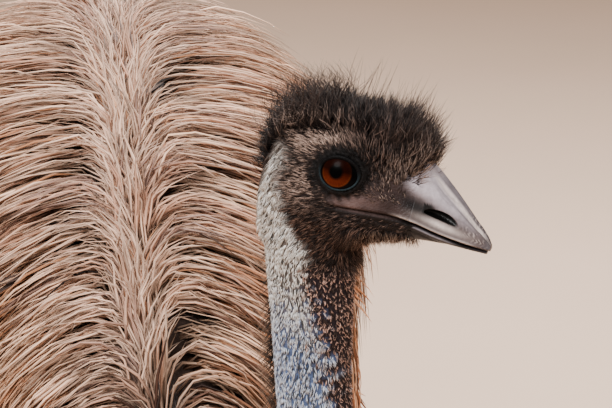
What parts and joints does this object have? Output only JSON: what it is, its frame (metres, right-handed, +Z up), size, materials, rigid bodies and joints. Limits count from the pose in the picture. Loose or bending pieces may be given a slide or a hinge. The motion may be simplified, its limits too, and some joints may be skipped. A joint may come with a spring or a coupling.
{
  "type": "emu",
  "caption": "Life-size standing emu, neck drawn up in an S and head turned to its left, with shaggy drooping plumage, still.",
  "frame": {"origin": "on the floor, under the middle of the bird's whole box", "axes": "+Z up, the body faces -Y, +X is the bird's left side"},
  "size_m": [0.4705, 1.1413, 1.2114],
  "materials": {
    "plumage": "shaggy loose brown feathers",
    "neck_skin": "pale blue skin under fine hair-like feathers",
    "face_skin": "dark skin with fine black hair-like feathers",
    "bill_horn": "satin grey horn",
    "eye": "wet red-brown eye",
    "leg_scale": "dry dark scaly skin",
    "claw": "worn black horn"
  },
  "bodies": {
    "root": {"head": "face_skin", "left_eye": "eye", "left_foot": "leg_scale", "left_inner_claw": "claw", "left_middle_claw": "claw", "left_outer_claw": "claw", "left_shank": "leg_scale", "left_thigh": "plumage", "left_wing": "plumage", "lower_bill": "bill_horn", "neck_bend": "neck_skin", "neck_lower": "plumage", "neck_middle": "neck_skin", "neck_upper": "neck_skin", "right_eye": "eye", "right_foot": "leg_scale", "right_inner_claw": "claw", "right_middle_claw": "claw", "right_outer_claw": "claw", "right_shank": "leg_scale", "right_thigh": "plumage", "right_wing": "plumage", "tail": "plumage", "torso": "plumage", "upper_bill": "bill_horn"}
  },
  "joints": []
}
